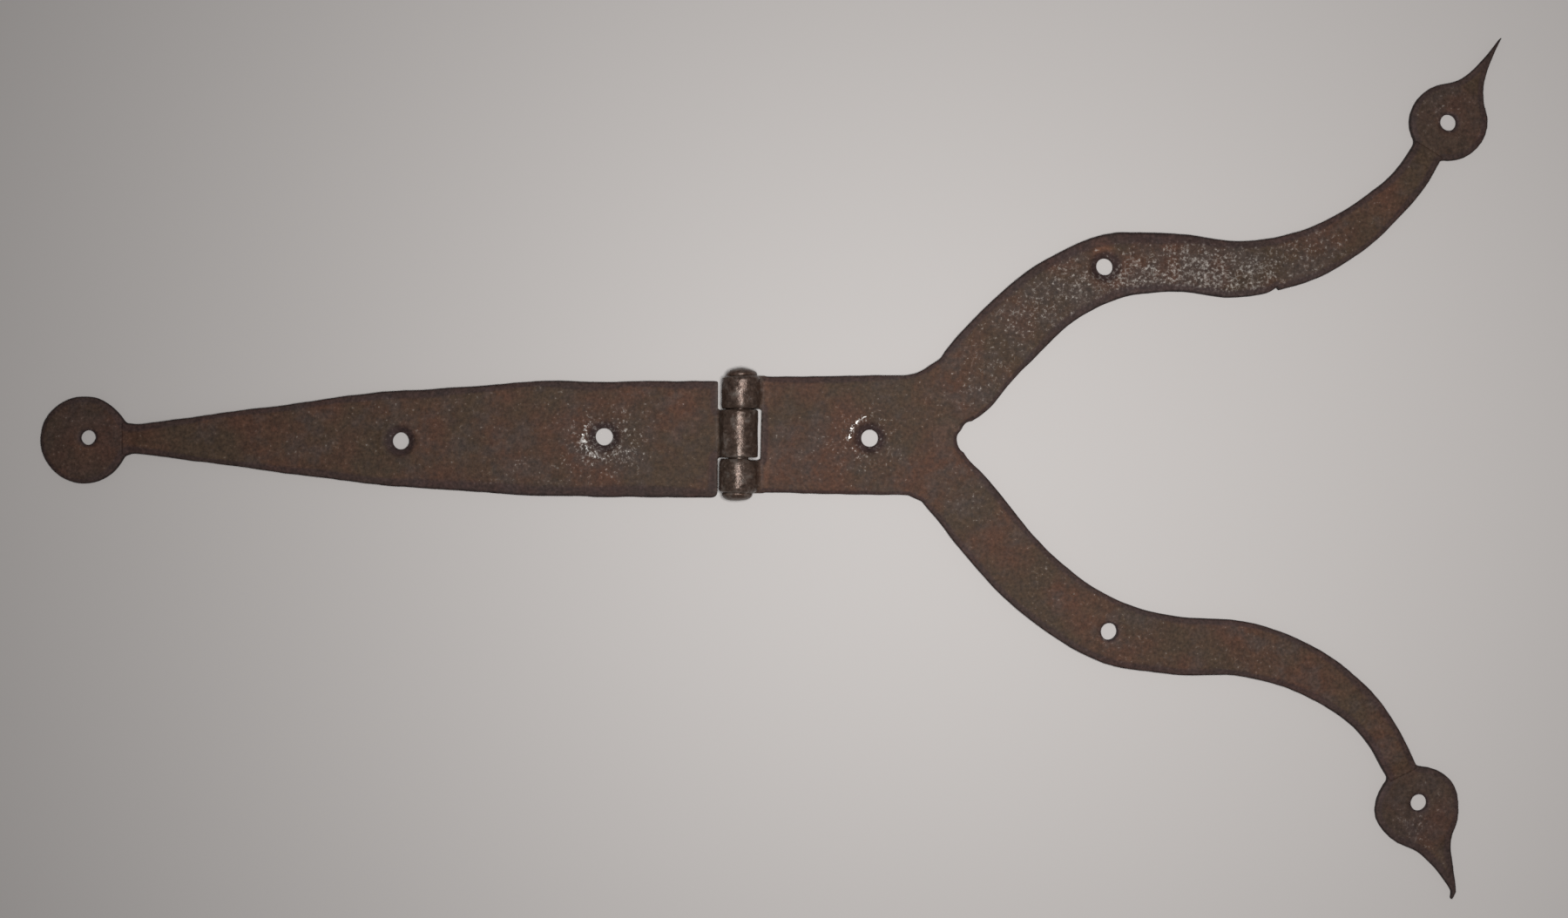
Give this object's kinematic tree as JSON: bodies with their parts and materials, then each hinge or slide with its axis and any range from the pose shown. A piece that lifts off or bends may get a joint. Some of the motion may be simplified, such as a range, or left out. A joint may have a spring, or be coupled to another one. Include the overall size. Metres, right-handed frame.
{
  "type": "ram's-horn strap hinge",
  "caption": "Hand-forged iron strap hinge: a tapered strap leaf with a round end and a leaf forked into two serpentine horns with pointed leaf finials, on a peened pin.",
  "frame": {"origin": "on the mounting plane, the flat backs of both leaves, straight below the middle of the pin, with the hinge open flat", "axes": "+X from the barrel towards the horned leaf's finials, +Y along the pin, +Z out of the mounting plane on the barrel's side"},
  "size_m": [0.4189, 0.2466, 0.0109],
  "materials": {
    "strap_iron": "hammered and rust-browned wrought iron, matt",
    "horn_iron": "hammered and rust-browned wrought iron, matt",
    "pin_iron": "rubbed dark wrought iron, satin"
  },
  "bodies": {
    "horned": {"horned_leaf": "horn_iron", "hinge_pin": "pin_iron"},
    "strap": {"strap_leaf": "strap_iron"}
  },
  "joints": [
    {"name": "pin_hinge", "type": "hinge", "parent": "horned", "child": "strap", "pos_m": [0, 0, 0.00548], "axis": [0, 1, 0], "range_deg": [0, 180]}
  ]
}
